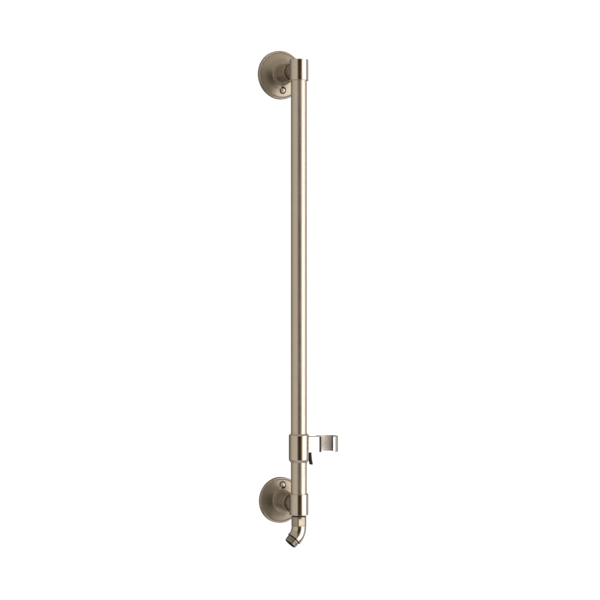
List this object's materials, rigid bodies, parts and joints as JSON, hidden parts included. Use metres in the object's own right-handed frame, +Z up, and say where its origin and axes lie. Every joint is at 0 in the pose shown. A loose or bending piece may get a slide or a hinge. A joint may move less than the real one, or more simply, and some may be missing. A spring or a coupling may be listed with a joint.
{
  "type": "shower slide bar",
  "caption": "Wall-mounted round shower slide bar with a water inlet post, a swivelling hose outlet elbow and a sliding, lever-released handset cradle.",
  "frame": {"origin": "centre of the top flange, on the wall", "axes": "+Z up along the bar, +Y into the wall, +X along the wall towards the handset cradle"},
  "size_m": [0.1067, 0.1155, 0.7929],
  "materials": {
    "satin_nickel": "brushed nickel plate on brass, satin",
    "bright_nickel": "brushed nickel plate on brass, finer and brighter grain",
    "steel": "stainless steel, as machined",
    "black_rubber": "matt seal rubber",
    "grey_foam": "closed-cell foam",
    "white_nylon": "moulded nylon",
    "dark_plastic": "dark brown moulded plastic"
  },
  "bodies": {
    "rail": {"top_wall_plate": "steel", "top_plate_screw_left": "steel", "top_plate_screw_right": "steel", "top_flange": "satin_nickel", "top_flange_gasket": "grey_foam", "top_flange_screw": "bright_nickel", "top_post": "satin_nickel", "top_post_ring": "black_rubber", "top_collar": "satin_nickel", "top_set_screw": "steel", "top_band": "bright_nickel", "bar_grub_screw": "steel", "bar_top_cap": "satin_nickel", "bar_tube": "satin_nickel", "bar_plug": "white_nylon", "bar_plug_ring": "black_rubber", "bottom_wall_plate": "steel", "bottom_plate_screw_left": "steel", "bottom_plate_screw_right": "steel", "bottom_flange": "satin_nickel", "bottom_flange_gasket": "grey_foam", "bottom_flange_screw": "bright_nickel", "inlet_post": "satin_nickel", "inlet_post_ring": "black_rubber", "bottom_collar": "satin_nickel", "bottom_set_screw": "steel", "bottom_band": "bright_nickel", "outlet_washer": "black_rubber", "outlet_adapter": "bright_nickel", "swivel_o_ring": "black_rubber", "swivel_clip": "steel"},
    "carriage": {"upper_liner": "white_nylon", "lower_liner": "white_nylon"},
    "holder": {"holder_sleeve": "bright_nickel", "holder_arm": "bright_nickel", "arm_screw": "steel", "trigger_pin": "steel", "trigger_spring": "steel"},
    "trigger": {"trigger_lever": "dark_plastic"},
    "brake": {"brake_shoe": "white_nylon"},
    "elbow": {"outlet_elbow": "bright_nickel", "outlet_nipple": "satin_nickel", "check_valve": "dark_plastic"}
  },
  "joints": [
    {"name": "holder_slide", "type": "slide", "parent": "rail", "child": "carriage", "axis": [0, 0, 1], "range_m": [-0.049, 0.557]},
    {"name": "holder_swivel", "type": "hinge", "parent": "carriage", "child": "holder", "pos_m": [0, -0.07, -0.597], "axis": [0, 0, 1], "range_deg": [-205, 25]},
    {"name": "trigger_squeeze", "type": "hinge", "parent": "holder", "child": "trigger", "pos_m": [0.0196, -0.07, -0.601], "axis": [0, 1, 0], "range_deg": [0, 9], "stiffness_Nm_per_rad": 0.15, "springref_deg": -20.05},
    {"name": "brake_release", "type": "slide", "parent": "holder", "child": "brake", "axis": [1, 0, 0], "range_m": [0, 0.0011]},
    {"name": "elbow_swivel", "type": "hinge", "parent": "rail", "child": "elbow", "pos_m": [0, -0.07, -0.72], "axis": [0, 0, 1], "continuous": true}
  ],
  "couplings": [
    {"joint": "brake_release", "follows": "trigger_squeeze", "m_per_rad": 0.0055}
  ]
}
